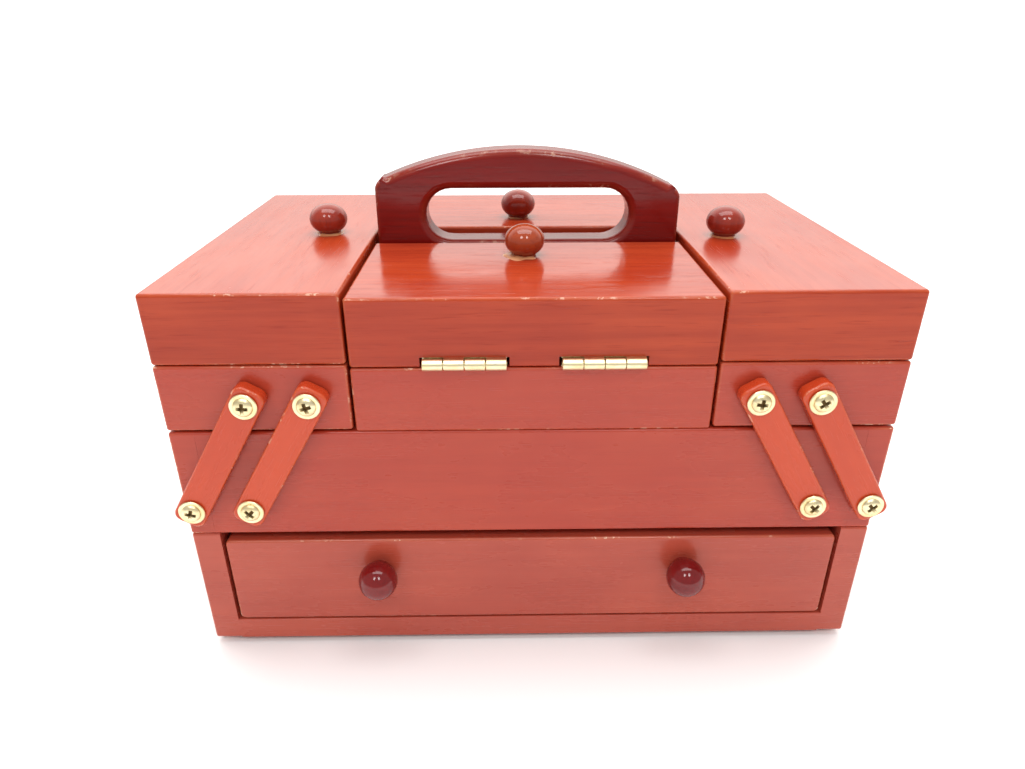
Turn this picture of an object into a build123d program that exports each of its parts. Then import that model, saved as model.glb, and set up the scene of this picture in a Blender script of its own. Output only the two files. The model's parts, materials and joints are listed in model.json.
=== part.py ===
from build123d import *
from math import acos, atan2, cos, degrees, hypot, pi, sin
import os

os.makedirs("parts", exist_ok=True)

# A wooden sewing box that folds out. Two side trays swing outwards on parallel arms, a fixed centre box
# carries the handle between two lids, and a drawer slides out of the bottom.
# X runs to the right, Y to the back and Z up from the table. The origin is on the table, in the middle of
# the footprint. Lengths are millimetres.

# ---- overall ----
box_width = 280.0
box_depth = 174.0
base_height = 57.0
middle_height = 47.5
foot_height = 3.0

# ---- boards ----
base_wall = 11.5
middle_wall = 10.0
tray_wall = 8.0
lid_wall = 8.0
base_bottom_thickness = 10.3
middle_floor_thickness = 6.0
tray_floor_thickness = 4.0
edge_round = 1.2
lid_edge_round = 1.4
joint_ease = 0.35       # softened arris where two boards meet flush

# ---- centre box, trays and lids ----
centre_width = 136.0
centre_wall_height = 26.4
front_lid_height = 26.8
back_lid_height = 28.3      # stands a little higher than the front one
tray_height = 27.0
tray_lid_height = 27.4
lid_top_thickness = 6.3
tray_side_gap = 1.0     # between a tray and the centre box
tray_lift = 0.8         # between a tray and the middle box
lid_seam = 0.3          # between a closed lid and the walls under it

# ---- handle ----
handle_width = 134.0
handle_thickness = 17.0
handle_rise = 39.3      # crown above the front lid
handle_arc_radius = 151.0
handle_crown_shift = -4.0   # the arc peaks a little left of the middle
handle_round = 3.5
handle_lid_gap = 2.9
slot_length = 90.0
slot_height = 22.5
shoulder_gap = 0.3      # under the handle's shoulders, beside the lids' ends

# ---- arms and screws ----
arm_width = 12.4
arm_thickness = 6.0
arm_overhang = 6.75     # from a pivot to the arm's end
arm_corner = 3.5
arm_ease = 0.9
arm_gap = 0.4           # between an arm and the panel behind it
arm_run = 27.6          # how far a closed arm leans inwards
outer_pivot_inset = 6.0     # lower outer pivot, from the box's side
pivot_spacing = 23.0
lower_pivot_height = 15.7   # above the middle box's lower edge
upper_pivot_height = 13.9   # above the tray's lower edge
screw_radius = 2.0
screw_head_radius = 5.15
screw_head_height = 2.3
screw_head_dome = 1.5
screw_head_gap = 0.3    # between the head and the arm
screw_bite = 7.0
recess_length = 5.4
recess_width = 1.2
recess_depth = 1.2
pivot_clearance = 0.08
open_pivot_clearance = 0.25     # upper hole of the inner arms
thread_clearance = 0.03

# ---- hinges ----
hinge_length = 31.0
hinge_knuckles = 4
knuckle_radius = 2.2
knuckle_gap = 0.25
hinge_standoff = 1.6    # pin axis, out from the wall's face
leaf_thickness = 0.9
leaf_width = 7.4        # onto the wall, from its face
hinge_pin_radius = 1.0
hinge_pin_clearance = 0.05
notch_margin = 1.0      # beside each end of a hinge
centre_hinge_place = 25.6   # hinge middle, from the lid's middle
tray_hinge_place = 48.0

# ---- knobs ----
knob_radius = 8.0
knob_neck_radius = 4.9
drawer_knob_collar = 0.6
lid_knob_radius = 8.4       # the lids' knobs are flattened balls
lid_knob_half_height = 6.7
lid_knob_collar = 1.0
knob_spline_steps = 12      # points on a knob's round outline
centre_knob_inset = 21.0    # from the lid's inner edge
left_knob_inset = 21.0
right_knob_inset = 19.0
front_knob_shift = -2.2     # along the hinge, from the lid's middle
back_knob_shift = -3.5
left_knob_shift = -0.8
right_knob_shift = -9.2
drawer_knob_place = 64.0
drawer_knob_drop = 15.5     # below the drawer front's upper edge
tenon_radius = 3.0
tenon_length = 5.0
tenon_clearance = 0.05
tenon_hole_depth = 5.4

# ---- drawer ----
drawer_front_thickness = 10.0
drawer_side_gap = 1.2
drawer_top_gap = 4.0
drawer_bottom_gap = 0.5
drawer_slide_gap = 0.3
drawer_corner = 2.2
drawer_ease = 0.8
drawer_side_thickness = 7.0
drawer_side_height = 36.0
drawer_side_inset = 1.0     # from the front's end to the side's outer face
drawer_bottom_thickness = 3.0
drawer_bottom_raise = 2.0
drawer_back_space = 5.0

# ---- feet ----
foot_radius = 4.6
foot_inset_x = 27.0
foot_inset_y = 8.5
foot_round = 1.0

# ---- heights and places that follow ----
half_width = box_width / 2
half_depth = box_depth / 2
base_low = foot_height
middle_low = base_low + base_height
middle_high = middle_low + middle_height
base_floor = base_low + base_bottom_thickness
centre_low = middle_high
centre_rim = centre_low + centre_wall_height
centre_lid_low = centre_rim + lid_seam
front_lid_high = centre_lid_low + front_lid_height
back_lid_high = centre_lid_low + back_lid_height
tray_low = middle_high + tray_lift
tray_rim = tray_low + tray_height
tray_lid_low = tray_rim + lid_seam
tray_lid_high = tray_lid_low + tray_lid_height
half_centre = centre_width / 2
tray_inner = half_centre + tray_side_gap
half_handle = handle_thickness / 2
centre_lid_inner = half_handle + handle_lid_gap
lower_pivot_z = middle_low + lower_pivot_height
upper_pivot_z = tray_low + upper_pivot_height
arm_rise = upper_pivot_z - lower_pivot_z
arm_lean = degrees(atan2(arm_run, arm_rise))
pivot_distance = hypot(arm_run, arm_rise)
lower_pivots = {"outer": half_width - outer_pivot_inset,
                "inner": half_width - outer_pivot_inset - pivot_spacing}
upper_pivots = {which: place - arm_run for which, place in lower_pivots.items()}
hinge_axis_rise = knuckle_radius            # above the wall that the hinge sits on
notch_height = 2 * hinge_axis_rise - lid_seam

# The drawer knobs reach further than the screws behind, so the box stands a little behind the origin.
knob_drop = (knob_radius ** 2 - knob_neck_radius ** 2) ** 0.5
knob_reach = drawer_knob_collar + knob_drop + knob_radius
screw_seat = arm_gap + arm_thickness + screw_head_gap
screw_reach = screw_seat + screw_head_height
centre_y = (knob_reach - screw_reach) / 2

toward = {"front": "back", "back": "front", "left": "right", "right": "left"}
box_sides = {"left": -1, "right": 1}
box_ends = {"front": -1, "back": 1}
board_faces = {"left": (Axis.X, 0), "right": (Axis.X, -1), "front": (Axis.Y, 0),
               "back": (Axis.Y, -1), "bottom": (Axis.Z, 0), "top": (Axis.Z, -1)}


def level(height):
    """A horizontal plane, centred on the box."""
    return Plane(origin=(0, centre_y, height))


def upright(place, end="front"):
    """A vertical plane across the box that faces the front or the back, local y up."""
    facing = box_ends[end]
    return Plane(origin=(0, centre_y + place, 0), x_dir=(-facing, 0, 0), z_dir=(0, facing, 0))


def save(name, *pieces):
    """Labels a piece, or a group of separate pieces, and writes it."""
    node = pieces[0]
    if len(pieces) > 1:
        node = Compound([solid for piece in pieces for solid in piece.solids()])
    node.label = name
    export_step(node, f"parts/{name}.step")


def board(x_span, y_span, z_span, glued=(), rounded=edge_round):
    """A board whose edges are rounded, apart from those of its glued faces."""
    (x_low, x_high), (y_low, y_high), (z_low, z_high) = sorted(x_span), sorted(y_span), sorted(z_span)
    with BuildPart() as plank:
        with BuildSketch(level(z_low)):
            with Locations(((x_low + x_high) / 2, (y_low + y_high) / 2)):
                Rectangle(x_high - x_low, y_high - y_low)
        extrude(amount=z_high - z_low)
        sharp = ShapeList()
        for face in glued:
            axis, end = board_faces[face]
            sharp += plank.faces().sort_by(axis)[end].edges()
        free = plank.edges() - sharp
        if free:
            fillet(free, rounded)
    return plank.part


def drilled(plank, spots, plane, radius, depth):
    """A board with blind holes at spots of a plane that lies on its face."""
    with BuildPart() as bored:
        add(plank)
        with BuildSketch(plane):
            with Locations(*spots):
                Circle(radius)
        extrude(amount=-depth, mode=Mode.SUBTRACT)
    return bored.part


# ---- drawer housing ----
for side, sign in box_sides.items():
    base_side = board((sign * half_width, sign * (half_width - base_wall)), (-half_depth, half_depth),
                      (base_low, middle_low), glued=[toward[side]])
    save(f"base_{side}_side", base_side)

base_inner = half_width - base_wall
base_bottom = board((-base_inner, base_inner), (-half_depth, half_depth), (base_low, base_floor),
                    glued=["left", "right", "back"], rounded=joint_ease)
save("base_bottom", base_bottom)

base_back = board((-base_inner, base_inner), (half_depth - tray_wall, half_depth), (base_floor, middle_low),
                  glued=["left", "right", "bottom"], rounded=joint_ease)
save("base_back", base_back)

with BuildPart() as feet:
    with BuildSketch(level(base_low)):
        with GridLocations(box_width - 2 * foot_inset_x, box_depth - 2 * foot_inset_y, 2, 2):
            Circle(foot_radius)
    extrude(amount=-foot_height)
    fillet(feet.faces().filter_by(Axis.Z).group_by(Axis.Z)[0].edges(), foot_round)
save("feet", feet.part)

# ---- middle box ----
middle_inner = half_width - middle_wall
pilot_radius = screw_radius + thread_clearance
pilot_depth = screw_bite + thread_clearance
for side, sign in box_sides.items():
    middle_side = board((sign * half_width, sign * middle_inner), (-half_depth, half_depth),
                        (middle_low, middle_high), glued=[toward[side]])
    for end, facing in box_ends.items():
        # The plane's local x runs to the viewer's right, so it changes sign at the back.
        spot = (-facing * sign * lower_pivots["outer"], lower_pivot_z)
        end_plane = upright(facing * half_depth, end)
        middle_side = drilled(middle_side, [spot], end_plane, pilot_radius, pilot_depth)
    save(f"middle_{side}_side", middle_side)

for end, facing in box_ends.items():
    panel = board((-middle_inner, middle_inner), (facing * half_depth, facing * (half_depth - middle_wall)),
                  (middle_low, middle_high), glued=["left", "right", toward[end]])
    spots = [(sign * lower_pivots["inner"], lower_pivot_z) for sign in box_sides.values()]
    panel = drilled(panel, spots, upright(facing * half_depth, end), pilot_radius, pilot_depth)
    save(f"middle_{end}", panel)

middle_floor = board((-middle_inner, middle_inner), (middle_wall - half_depth, half_depth - middle_wall),
                     (middle_low, middle_low + middle_floor_thickness), glued=list(toward))
save("middle_floor", middle_floor)

# ---- centre box ----
for end, facing in box_ends.items():
    wall = board((-half_centre, half_centre), (facing * half_depth, facing * (half_depth - tray_wall)),
                 (centre_low, centre_rim), glued=[toward[end]], rounded=edge_round / 2)
    save(f"centre_{end}_wall", wall)

centre_inner = half_centre - tray_wall
centre_side_walls = []
for sign in box_sides.values():
    wall = board((sign * half_centre, sign * centre_inner), (tray_wall - half_depth, half_depth - tray_wall),
                 (centre_low, centre_rim), glued=["front", "back"], rounded=joint_ease)
    centre_side_walls.append(wall)
save("centre_side_walls", *centre_side_walls)

centre_floor = board((-centre_inner, centre_inner), (tray_wall - half_depth, half_depth - tray_wall),
                     (centre_low, centre_low + tray_floor_thickness), glued=list(toward))
save("centre_floor", centre_floor)

# ---- handle: one board that also divides the centre box ----
handle_foot = centre_low + tray_floor_thickness
handle_shoulder = centre_rim + shoulder_gap
handle_crown = front_lid_high + handle_rise
half_handle_width = handle_width / 2
arc_centre = handle_crown - handle_arc_radius
slot_radius = slot_height / 2
slot_middle = front_lid_high + slot_radius


def arc_height(place):
    """Height of the handle's upper edge at a place across its width."""
    return arc_centre + (handle_arc_radius ** 2 - (place - handle_crown_shift) ** 2) ** 0.5


handle_ends = {sign: (sign * half_handle_width, arc_height(sign * half_handle_width)) for sign in (-1, 1)}
with BuildPart() as handle:
    with BuildSketch(upright(-half_handle)):
        with BuildLine():
            Polyline(handle_ends[1], (half_handle_width, handle_shoulder), (centre_inner, handle_shoulder),
                     (centre_inner, handle_foot), (-centre_inner, handle_foot),
                     (-centre_inner, handle_shoulder), (-half_handle_width, handle_shoulder), handle_ends[-1])
            ThreePointArc(handle_ends[-1], (handle_crown_shift, handle_crown), handle_ends[1])
        make_face()
        with Locations((0, slot_middle)):
            SlotOverall(slot_length, slot_height, mode=Mode.SUBTRACT)
    extrude(amount=-handle_thickness)
    above_lids = handle.edges().filter_by_position(Axis.Z, front_lid_high - 1, handle_crown + 1)
    inward = above_lids.filter_by(lambda edge: abs(edge.center().X) < half_handle_width - 1)
    hand_edges = inward.filter_by(lambda edge: abs(edge.tangent_at(0.5).Y) < 0.5)
    end_corners = above_lids.filter_by(Axis.Y) - inward
    fillet(hand_edges + end_corners, handle_round)
save("handle", handle.part)

# ---- side trays ----
for side, sign in box_sides.items():
    outer, inner = sign * half_width, sign * tray_inner
    for end, facing in box_ends.items():
        wall = board((outer, inner), (facing * half_depth, facing * (half_depth - tray_wall)),
                     (tray_low, tray_rim), glued=[toward[end]], rounded=edge_round)
        spots = [(-facing * sign * place, upper_pivot_z) for place in upper_pivots.values()]
        wall = drilled(wall, spots, upright(facing * half_depth, end), pilot_radius, pilot_depth)
        save(f"{side}_tray_{end}", wall)
    between = (tray_wall - half_depth, half_depth - tray_wall)
    outer_wall = board((outer, outer - sign * tray_wall), between, (tray_low, tray_rim),
                       glued=[toward[side], "front", "back"])
    save(f"{side}_tray_outer_wall", outer_wall)
    inner_wall = board((inner, inner + sign * tray_wall), between, (tray_low, tray_rim),
                       glued=[side, "front", "back"])
    save(f"{side}_tray_inner_wall", inner_wall)
    tray_floor = board((outer - sign * tray_wall, inner + sign * tray_wall), between,
                       (tray_low, tray_low + tray_floor_thickness), glued=list(toward))
    save(f"{side}_tray_floor", tray_floor)

# ---- hinges ----
outward = {"front": (0, -1, 0), "back": (0, 1, 0), "left": (-1, 0, 0), "right": (1, 0, 0)}
hinge_faces = {end: half_depth for end in box_ends} | {side: half_width for side in box_sides}
hinge_rims = {end: centre_rim for end in box_ends} | {side: tray_rim for side in box_sides}
hinge_places = {end: centre_hinge_place for end in box_ends} | {side: tray_hinge_place for side in box_sides}
knuckle_pitch = hinge_length / hinge_knuckles
leaf_edge = hinge_standoff - knuckle_radius - knuckle_gap


def across_hinge(end, place):
    """A plane across the hinge line: local x out of the wall, local y up, from the rim of its face."""
    out = Vector(*outward[end])
    along = out.cross(Vector(0, 0, 1))
    rim = Vector(0, centre_y, hinge_rims[end]) + out * hinge_faces[end]
    return Plane(origin=rim + along * place, x_dir=out, z_dir=along)


def hinge_leaves(end, turning):
    """The two leaves that stay on the wall, or the two that turn with the lid, with their knuckles."""
    leaf_low = 2 * hinge_axis_rise - leaf_thickness if turning else 0
    leaf_middle = leaf_low + leaf_thickness / 2
    with BuildPart() as leaves:
        for way in (-1, 1):
            start = way * hinge_places[end] - hinge_length / 2
            with BuildSketch(across_hinge(end, start)):
                with Locations(((leaf_edge - leaf_width) / 2, leaf_middle)):
                    Rectangle(leaf_width + leaf_edge, leaf_thickness)
            extrude(amount=hinge_length)
            for knuckle in range(turning, hinge_knuckles, 2):
                with BuildSketch(across_hinge(end, start + knuckle * knuckle_pitch + knuckle_gap / 2)):
                    with Locations(((leaf_edge + hinge_standoff) / 2, leaf_middle)):
                        Rectangle(hinge_standoff - leaf_edge, leaf_thickness)
                    with Locations((hinge_standoff, hinge_axis_rise)):
                        Circle(knuckle_radius)
                        Circle(hinge_pin_radius + hinge_pin_clearance, mode=Mode.SUBTRACT)
                extrude(amount=knuckle_pitch - knuckle_gap)
    return leaves.part


def hinge_pins(ends):
    """The pins of the two hinges at each of these ends."""
    with BuildPart() as pins:
        for end in ends:
            for way in (-1, 1):
                with BuildSketch(across_hinge(end, way * hinge_places[end] - hinge_length / 2)):
                    with Locations((hinge_standoff, hinge_axis_rise)):
                        Circle(hinge_pin_radius)
                extrude(amount=hinge_length)
    return pins.part


def notched(plank, end):
    """A lid's board with the two notches that take its hinges."""
    with BuildPart() as cut:
        add(plank)
        for way in (-1, 1):
            start = way * hinge_places[end] - hinge_length / 2 - notch_margin
            with BuildSketch(across_hinge(end, start)):
                Rectangle(2 * lid_wall, 2 * (notch_height + lid_seam))
            extrude(amount=hinge_length + 2 * notch_margin, mode=Mode.SUBTRACT)
    return cut.part


for end in box_ends:
    save(f"{end}_hinge_leaves", hinge_leaves(end, turning=False))
save("centre_hinge_pins", hinge_pins(box_ends))
for side in box_sides:
    save(f"{side}_hinge_leaves", hinge_leaves(side, turning=False))
    save(f"{side}_hinge_pins", hinge_pins([side]))


# ---- knobs ----
def knob(seat, collar, radius, half_height):
    """A turned knob, a ball or a flattened ball, with its tenon, standing on a plane."""
    lowest = -acos(knob_neck_radius / radius)
    middle = collar - half_height * sin(lowest)
    turns = [lowest + (pi / 2 - lowest) * step / knob_spline_steps for step in range(knob_spline_steps)]
    outline = [(radius * cos(turn), middle + half_height * sin(turn)) for turn in turns]
    crown = (0, middle + half_height)
    tangents = [(-radius * sin(lowest), half_height * cos(lowest)), (-1, 0)]
    half_profile = Plane(origin=seat.origin, x_dir=seat.x_dir, z_dir=-seat.y_dir)
    with BuildPart() as turned:
        with BuildSketch(half_profile):
            with BuildLine():
                Polyline(crown, (0, -tenon_length), (tenon_radius, -tenon_length), (tenon_radius, 0),
                         (knob_neck_radius, 0), outline[0])
                Spline(*outline, crown, tangents=tangents)
            make_face()
        revolve(axis=Axis(seat.origin, seat.z_dir))
    return turned.part


def on_plane(plane, spot):
    """The same plane, moved so that its origin is at a spot of it."""
    return Plane(origin=plane.from_local_coords((*spot, 0)), x_dir=plane.x_dir, z_dir=plane.z_dir)


# ---- lids ----
tenon_hole_radius = tenon_radius + tenon_clearance


def lid(name, x_span, y_span, low, high, knob_spot):
    """A box-shaped lid: four boards under a top, hinged on the board that its name gives."""
    (left, right), (front, back) = sorted(x_span), sorted(y_span)
    under_top = high - lid_top_thickness
    inside = (front + lid_wall, back - lid_wall)
    boards = {
        "front": board((left, right), (front, inside[0]), (low, under_top), ["back", "top"], lid_edge_round),
        "back": board((left, right), (inside[1], back), (low, under_top), ["front", "top"], lid_edge_round),
        "left": board((left, left + lid_wall), inside, (low, under_top), ["front", "back", "right", "top"],
                      lid_edge_round),
        "right": board((right - lid_wall, right), inside, (low, under_top), ["front", "back", "left", "top"],
                       lid_edge_round),
    }
    boards[name] = notched(boards[name], name)
    save(f"{name}_lid_rim", *boards.values())
    top = board((left, right), (front, back), (under_top, high), ["bottom"], lid_edge_round)
    top = drilled(top, [knob_spot], level(high), tenon_hole_radius, tenon_hole_depth)
    save(f"{name}_lid_top", top)
    seat = on_plane(level(high), knob_spot)
    save(f"{name}_lid_knob", knob(seat, lid_knob_collar, lid_knob_radius, lid_knob_half_height))
    save(f"{name}_lid_hinge_leaves", hinge_leaves(name, turning=True))


centre_lid_tops = {"front": front_lid_high, "back": back_lid_high}
centre_knob_shifts = {"front": front_knob_shift, "back": back_knob_shift}
for end, facing in box_ends.items():
    lid(end, (-half_centre, half_centre), (facing * half_depth, facing * centre_lid_inner), centre_lid_low,
        centre_lid_tops[end], (centre_knob_shifts[end], facing * (centre_lid_inner + centre_knob_inset)))

tray_knob_spots = {"left": (-tray_inner - left_knob_inset, left_knob_shift),
                   "right": (tray_inner + right_knob_inset, right_knob_shift)}
for side, sign in box_sides.items():
    lid(side, (sign * half_width, sign * tray_inner), (-half_depth, half_depth), tray_lid_low, tray_lid_high,
        tray_knob_spots[side])


# ---- arms and their screws ----
def arm_pair(sign, which):
    """The front and the back arm that turn together on one side."""
    with BuildPart() as pair:
        for end, facing in box_ends.items():
            low = -facing * sign * lower_pivots[which]
            high = -facing * sign * upper_pivots[which]
            play = open_pivot_clearance if which == "inner" else pivot_clearance
            with BuildSketch(upright(facing * (half_depth + arm_gap), end)):
                with Locations(((low + high) / 2, (lower_pivot_z + upper_pivot_z) / 2)):
                    RectangleRounded(pivot_distance + 2 * arm_overhang, arm_width, arm_corner,
                                     rotation=degrees(atan2(arm_rise, high - low)))
                with Locations((low, lower_pivot_z)):
                    Circle(screw_radius + pivot_clearance, mode=Mode.SUBTRACT)
                with Locations((high, upper_pivot_z)):
                    Circle(screw_radius + play, mode=Mode.SUBTRACT)
            extrude(amount=arm_thickness)
        outlines = [face.outer_wire().edges() for face in pair.faces().filter_by(Axis.Y)]
        fillet([edge for outline in outlines for edge in outline], arm_ease)
    return pair.part


def pivot_screws(spots):
    """Dome-headed cross-recess screws at these places, on the front and on the back."""
    with BuildPart() as screws:
        for end, facing in box_ends.items():
            places = [(-facing * x, z) for x, z in spots]
            with BuildSketch(upright(facing * (half_depth - screw_bite), end)):
                with Locations(*places):
                    Circle(screw_radius)
            extrude(amount=screw_bite + screw_seat)
            with BuildSketch(upright(facing * (half_depth + screw_seat), end)):
                with Locations(*places):
                    Circle(screw_head_radius)
            extrude(amount=screw_head_height)
            outer_faces = screws.faces().filter_by(Axis.Y).sort_by(Axis.Y)
            heads = outer_faces[:len(spots)] if facing < 0 else outer_faces[-len(spots):]
            fillet(heads.edges(), screw_head_dome)
            with BuildSketch(upright(facing * (half_depth + screw_reach), end)):
                with Locations(*places):
                    Rectangle(recess_length, recess_width)
                    Rectangle(recess_width, recess_length)
            extrude(amount=-recess_depth, mode=Mode.SUBTRACT)
    return screws.part


lower_spots = []
for side, sign in box_sides.items():
    for which in lower_pivots:
        save(f"{side}_{which}_arms", arm_pair(sign, which))
        lower_spots.append((sign * lower_pivots[which], lower_pivot_z))
    upper_spots = [(sign * place, upper_pivot_z) for place in upper_pivots.values()]
    save(f"{side}_pivot_screws", pivot_screws(upper_spots))
save("lower_pivot_screws", pivot_screws(lower_spots))

# ---- drawer ----
drawer_face = upright(-half_depth)
front_reach = base_inner - drawer_side_gap
front_low = base_floor + drawer_bottom_gap
front_high = middle_low - drawer_top_gap
drawer_knob_spots = [(way * drawer_knob_place, front_high - drawer_knob_drop) for way in (-1, 1)]
with BuildPart() as drawer_front:
    with BuildSketch(drawer_face):
        with Locations((0, (front_low + front_high) / 2)):
            RectangleRounded(2 * front_reach, front_high - front_low, drawer_corner)
    extrude(amount=-drawer_front_thickness)
    face = drawer_front.faces().filter_by(Axis.Y).sort_by(Axis.Y)[0]
    fillet(face.outer_wire().edges(), drawer_ease)
drawer_board = drilled(drawer_front.part, drawer_knob_spots, drawer_face, tenon_hole_radius, tenon_hole_depth)
save("drawer_front", drawer_board)

side_outer = front_reach - drawer_side_inset
side_inner = side_outer - drawer_side_thickness
drawer_start = drawer_front_thickness - half_depth
drawer_end = half_depth - tray_wall - drawer_back_space
drawer_low = base_floor + drawer_slide_gap
drawer_high = drawer_low + drawer_side_height
drawer_sides = [board((sign * side_outer, sign * side_inner), (drawer_start, drawer_end),
                      (drawer_low, drawer_high), ["front"], drawer_ease) for sign in box_sides.values()]
save("drawer_sides", *drawer_sides)

drawer_back_start = drawer_end - drawer_side_thickness
drawer_back = board((-side_inner, side_inner), (drawer_back_start, drawer_end), (drawer_low, drawer_high),
                    ["left", "right"], joint_ease)
save("drawer_back", drawer_back)

drawer_bottom_low = drawer_low + drawer_bottom_raise
drawer_bottom = board((-side_inner, side_inner), (drawer_start, drawer_back_start),
                      (drawer_bottom_low, drawer_bottom_low + drawer_bottom_thickness), list(toward))
save("drawer_bottom", drawer_bottom)

knob_seats = [on_plane(drawer_face, spot) for spot in drawer_knob_spots]
save("drawer_knobs", *[knob(seat, drawer_knob_collar, knob_radius, knob_radius) for seat in knob_seats])
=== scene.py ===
import json
import random
from math import acos, asin, atan2, cos, hypot, pi, radians, sin, sqrt, tan

import bmesh
import bpy
from mathutils import Matrix, Vector


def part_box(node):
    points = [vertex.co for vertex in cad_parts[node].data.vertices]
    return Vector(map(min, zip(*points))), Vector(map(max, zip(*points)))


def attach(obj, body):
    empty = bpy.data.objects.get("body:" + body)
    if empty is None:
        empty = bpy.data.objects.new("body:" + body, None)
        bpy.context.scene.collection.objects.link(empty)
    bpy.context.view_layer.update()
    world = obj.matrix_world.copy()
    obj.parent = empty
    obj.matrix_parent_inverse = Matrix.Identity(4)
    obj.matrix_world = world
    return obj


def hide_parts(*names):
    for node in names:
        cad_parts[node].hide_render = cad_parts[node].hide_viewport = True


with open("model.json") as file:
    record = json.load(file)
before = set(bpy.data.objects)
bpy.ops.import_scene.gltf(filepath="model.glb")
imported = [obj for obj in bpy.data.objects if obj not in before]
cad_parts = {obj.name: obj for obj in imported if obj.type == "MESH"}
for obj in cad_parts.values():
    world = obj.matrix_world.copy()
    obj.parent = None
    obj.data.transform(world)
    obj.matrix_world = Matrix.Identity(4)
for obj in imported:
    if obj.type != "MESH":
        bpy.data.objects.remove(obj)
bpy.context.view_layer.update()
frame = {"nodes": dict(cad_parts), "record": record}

scene = bpy.context.scene
nodes = frame["nodes"]
bodies = frame["record"]["behaviour"]["bodies"]
bodyOf = {node: body for body, members in bodies.items() for node in members}
mm = 0.001


# shared shader building
def addNode(tree, kind, inputs=None, **settings):
    node = tree.nodes.new(kind)
    for key, value in settings.items():
        setattr(node, key, value)
    for key, value in (inputs or {}).items():
        if isinstance(value, bpy.types.NodeSocket):
            tree.links.new(value, node.inputs[key])
        else:
            node.inputs[key].default_value = value
    return node


def addMath(tree, operation, a, b=0.0, clamp=False):
    return addNode(tree, "ShaderNodeMath", {0: a, 1: b}, operation=operation, use_clamp=clamp).outputs[0]


def remap(tree, value, fromLow, fromHigh, toLow=0.0, toHigh=1.0):
    settings = {"Value": value, "From Min": fromLow, "From Max": fromHigh,
                "To Min": toLow, "To Max": toHigh}
    return addNode(tree, "ShaderNodeMapRange", settings, interpolation_type="SMOOTHSTEP").outputs[0]


def blendColour(tree, factor, a, b, how="MIX"):
    node = addNode(tree, "ShaderNodeMix", data_type="RGBA", blend_type=how)
    for socket, value in ((node.inputs[0], factor), (node.inputs[6], a), (node.inputs[7], b)):
        if isinstance(value, bpy.types.NodeSocket):
            tree.links.new(value, socket)
        else:
            socket.default_value = value
    return node.outputs[2]


def startGroup(name, inputs, outputs):
    group = bpy.data.node_groups.new(name, "ShaderNodeTree")
    for label, kind, value in inputs:
        socket = group.interface.new_socket(label, in_out="INPUT", socket_type="NodeSocket" + kind)
        if value is not None:
            socket.default_value = value
    for label, kind in outputs:
        group.interface.new_socket(label, in_out="OUTPUT", socket_type="NodeSocket" + kind)
    given = group.nodes.new("NodeGroupInput").outputs
    result = group.nodes.new("NodeGroupOutput").inputs
    return group, given, result


def stretchedNoise(tree, vector, seed, stretch, detail, roughness, shift):
    moved = addNode(tree, "ShaderNodeVectorMath", {0: vector, 1: stretch}, operation="MULTIPLY")
    offset = addNode(tree, "ShaderNodeCombineXYZ", {"X": seed, "Y": shift, "Z": seed})
    both = {0: moved.outputs[0], 1: offset.outputs[0]}
    spot = addNode(tree, "ShaderNodeVectorMath", both, operation="ADD")
    inputs = {"Vector": spot.outputs[0], "Scale": 1.0, "Detail": detail, "Roughness": roughness}
    return addNode(tree, "ShaderNodeTexNoise", inputs).outputs["Fac"]


def makeWoodGrain():
    group, given, result = startGroup(
        "woodGrain",
        [("Vector", "Vector", None), ("Seed", "Float", 0.0)],
        [("Streaks", "Float"), ("Pores", "Float"), ("Figure", "Float"), ("Blotches", "Float")])
    vector, seed = given["Vector"], given["Seed"]
    streaks = stretchedNoise(group, vector, seed, (14, 340, 340), 4.0, 0.6, 3.1)
    pores = stretchedNoise(group, vector, seed, (70, 1500, 1500), 2.0, 0.55, 7.7)
    figure = stretchedNoise(group, vector, seed, (7, 70, 70), 2.0, 0.5, 12.3)
    blotches = stretchedNoise(group, vector, seed, (16, 26, 26), 3.0, 0.55, 20.9)
    group.links.new(remap(group, streaks, 0.3, 0.7), result["Streaks"])
    group.links.new(remap(group, pores, 0.56, 0.74), result["Pores"])
    group.links.new(remap(group, figure, 0.3, 0.7), result["Figure"])
    group.links.new(remap(group, blotches, 0.32, 0.68), result["Blotches"])
    return group


def makeEdgeWear():
    group, given, result = startGroup(
        "edgeWear",
        [("Vector", "Vector", None), ("Edge", "Float", 0.0), ("Seed", "Float", 0.0),
         ("Amount", "Float", 0.5)],
        [("Thin", "Float"), ("Chips", "Float")])
    patchy = stretchedNoise(group, given["Vector"], given["Seed"], (60, 60, 60), 3.0, 0.6, 1.9)
    crumbs = stretchedNoise(group, given["Vector"], given["Seed"], (420, 420, 420), 3.0, 0.65, 5.3)
    rubbed = addMath(group, "MULTIPLY", given["Edge"], remap(group, patchy, 0.3, 0.7, 0.25, 1.0))
    thin = addMath(group, "MULTIPLY", rubbed, given["Amount"], clamp=True)
    reach = addMath(group, "MULTIPLY", addMath(group, "SUBTRACT", given["Amount"], 0.8, clamp=True), 0.11)
    wide = addMath(group, "ADD", patchy, reach)
    loose = addMath(group, "MULTIPLY", remap(group, wide, 0.5, 0.66), remap(group, crumbs, 0.53, 0.6))
    chips = addMath(group, "MULTIPLY", loose, remap(group, given["Edge"], 0.45, 0.8))
    group.links.new(thin, result["Thin"])
    group.links.new(addMath(group, "MULTIPLY", chips, given["Amount"], clamp=True), result["Chips"])
    return group


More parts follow.
